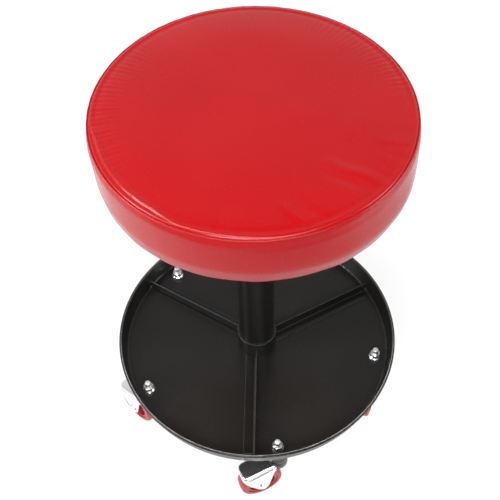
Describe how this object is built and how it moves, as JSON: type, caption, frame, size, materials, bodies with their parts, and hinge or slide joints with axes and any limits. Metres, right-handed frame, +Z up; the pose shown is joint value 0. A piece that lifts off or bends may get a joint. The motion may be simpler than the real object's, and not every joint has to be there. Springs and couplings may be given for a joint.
{
  "type": "pneumatic stool",
  "caption": "Round padded stool on a gas lift, standing on a divided tool tray with swivel casters; the seat turns and its height is set with a lever.",
  "frame": {"origin": "on the floor, under the axis of the column", "axes": "+Z up along the column; +Y away from the side that the picture shows, +X to its right"},
  "size_m": [0.4032, 0.4123, 0.5735],
  "materials": {
    "black_paint": "satin",
    "black_gloss": "gloss",
    "chrome": "polished",
    "zinc": "satin",
    "dark_zinc": "satin",
    "steel": "satin",
    "black_plastic": "matte",
    "black_rubber": "matte",
    "red_vinyl": "satin",
    "foam": "matte",
    "plywood": "matte",
    "red_polyurethane": "satin",
    "red_plastic": "satin"
  },
  "bodies": {
    "base": {"tool_tray": "black_paint", "divider_right": "black_paint", "divider_left": "black_paint", "divider_front": "black_paint", "hub_socket": "black_paint", "hub_plate": "black_paint", "column_tube": "black_gloss", "column_end_plate": "steel", "guide_bush": "black_plastic", "thrust_race_lower": "steel", "thrust_balls": "steel", "caster_stems": "zinc", "caster_nuts": "zinc", "caster_cups": "dark_zinc", "caster_balls": "steel"},
    "rod": {"piston_rod": "steel", "piston": "steel", "piston_seal": "black_rubber", "rod_clip": "steel", "thrust_race_upper": "steel", "rod_bumper": "black_rubber"},
    "seat": {"gas_cylinder": "chrome", "rod_guide": "steel", "valve_body": "steel", "taper_socket": "black_paint", "seat_channel": "black_paint", "seat_plate": "black_paint", "seat_bolts": "zinc", "tee_nuts": "zinc", "seat_board": "plywood", "seat_foam": "foam", "seat_cover": "red_vinyl", "cover_staples": "zinc", "lever_pivot_pin": "zinc"},
    "lever": {"release_lever": "black_paint", "lever_grip": "black_plastic"},
    "valve_pin": {"release_pin": "steel"},
    "front_caster": {"caster_front_yoke": "chrome", "caster_front_axle": "chrome"},
    "front_wheel": {"caster_front_tread": "red_polyurethane", "caster_front_core": "red_plastic"},
    "left_caster": {"caster_left_yoke": "chrome", "caster_left_axle": "chrome"},
    "left_wheel": {"caster_left_tread": "red_polyurethane", "caster_left_core": "red_plastic"},
    "back_left_caster": {"caster_back_left_yoke": "chrome", "caster_back_left_axle": "chrome"},
    "back_left_wheel": {"caster_back_left_tread": "red_polyurethane", "caster_back_left_core": "red_plastic"},
    "back_right_caster": {"caster_back_right_yoke": "chrome", "caster_back_right_axle": "chrome"},
    "back_right_wheel": {"caster_back_right_tread": "red_polyurethane", "caster_back_right_core": "red_plastic"},
    "right_caster": {"caster_right_yoke": "chrome", "caster_right_axle": "chrome"},
    "right_wheel": {"caster_right_tread": "red_polyurethane", "caster_right_core": "red_plastic"}
  },
  "joints": [
    {"name": "seat_swivel", "type": "hinge", "parent": "base", "child": "rod", "pos_m": [0, 0, 0.06], "axis": [0, 0, 1], "continuous": true},
    {"name": "seat_lift", "type": "slide", "parent": "rod", "child": "seat", "axis": [0, 0, 1], "range_m": [-0.125, 0], "stiffness_N_per_m": 600, "springref_m": 0.55},
    {"name": "lever_pull", "type": "hinge", "parent": "seat", "child": "lever", "pos_m": [0.03424, 0.01112, 0.4852], "axis": [0.309, -0.9511, 0], "range_deg": [0, 6], "stiffness_Nm_per_rad": 5, "springref_deg": -11.46},
    {"name": "valve_press", "type": "slide", "parent": "seat", "child": "valve_pin", "axis": [0, 0, 1], "range_m": [-0.0043, 0]},
    {"name": "front_swivel", "type": "hinge", "parent": "base", "child": "front_caster", "pos_m": [0.02542, -0.17213, 0.086], "axis": [0, 0, 1], "continuous": true},
    {"name": "front_roll", "type": "hinge", "parent": "front_caster", "child": "front_wheel", "pos_m": [0.00038, -0.18225, 0.031], "axis": [0.3746, -0.9272, 0], "continuous": true},
    {"name": "left_swivel", "type": "hinge", "parent": "base", "child": "left_caster", "pos_m": [-0.15585, -0.07737, 0.086], "axis": [0, 0, 1], "continuous": true},
    {"name": "left_roll", "type": "hinge", "parent": "left_caster", "child": "left_wheel", "pos_m": [-0.17528, -0.05861, 0.031], "axis": [-0.6947, -0.7193, 0], "continuous": true},
    {"name": "back_left_swivel", "type": "hinge", "parent": "base", "child": "back_left_caster", "pos_m": [-0.12174, 0.12432, 0.086], "axis": [0, 0, 1], "continuous": true},
    {"name": "back_left_roll", "type": "hinge", "parent": "back_left_caster", "child": "back_left_wheel", "pos_m": [-0.11705, 0.15091, 0.031], "axis": [-0.9848, 0.1736, 0], "continuous": true},
    {"name": "back_right_swivel", "type": "hinge", "parent": "base", "child": "back_right_caster", "pos_m": [0.08061, 0.1542, 0.086], "axis": [0, 0, 1], "continuous": true},
    {"name": "back_right_roll", "type": "hinge", "parent": "back_right_caster", "child": "back_right_wheel", "pos_m": [0.09411, 0.17758, 0.031], "axis": [-0.866, 0.5, 0], "continuous": true},
    {"name": "right_swivel", "type": "hinge", "parent": "base", "child": "right_caster", "pos_m": [0.17156, -0.02902, 0.086], "axis": [0, 0, 1], "continuous": true},
    {"name": "right_roll", "type": "hinge", "parent": "right_caster", "child": "right_wheel", "pos_m": [0.16233, -0.05439, 0.031], "axis": [0.9397, -0.342, 0], "continuous": true}
  ],
  "couplings": [
    {"joint": "valve_press", "follows": "lever_pull", "m_per_rad": -0.0405}
  ]
}
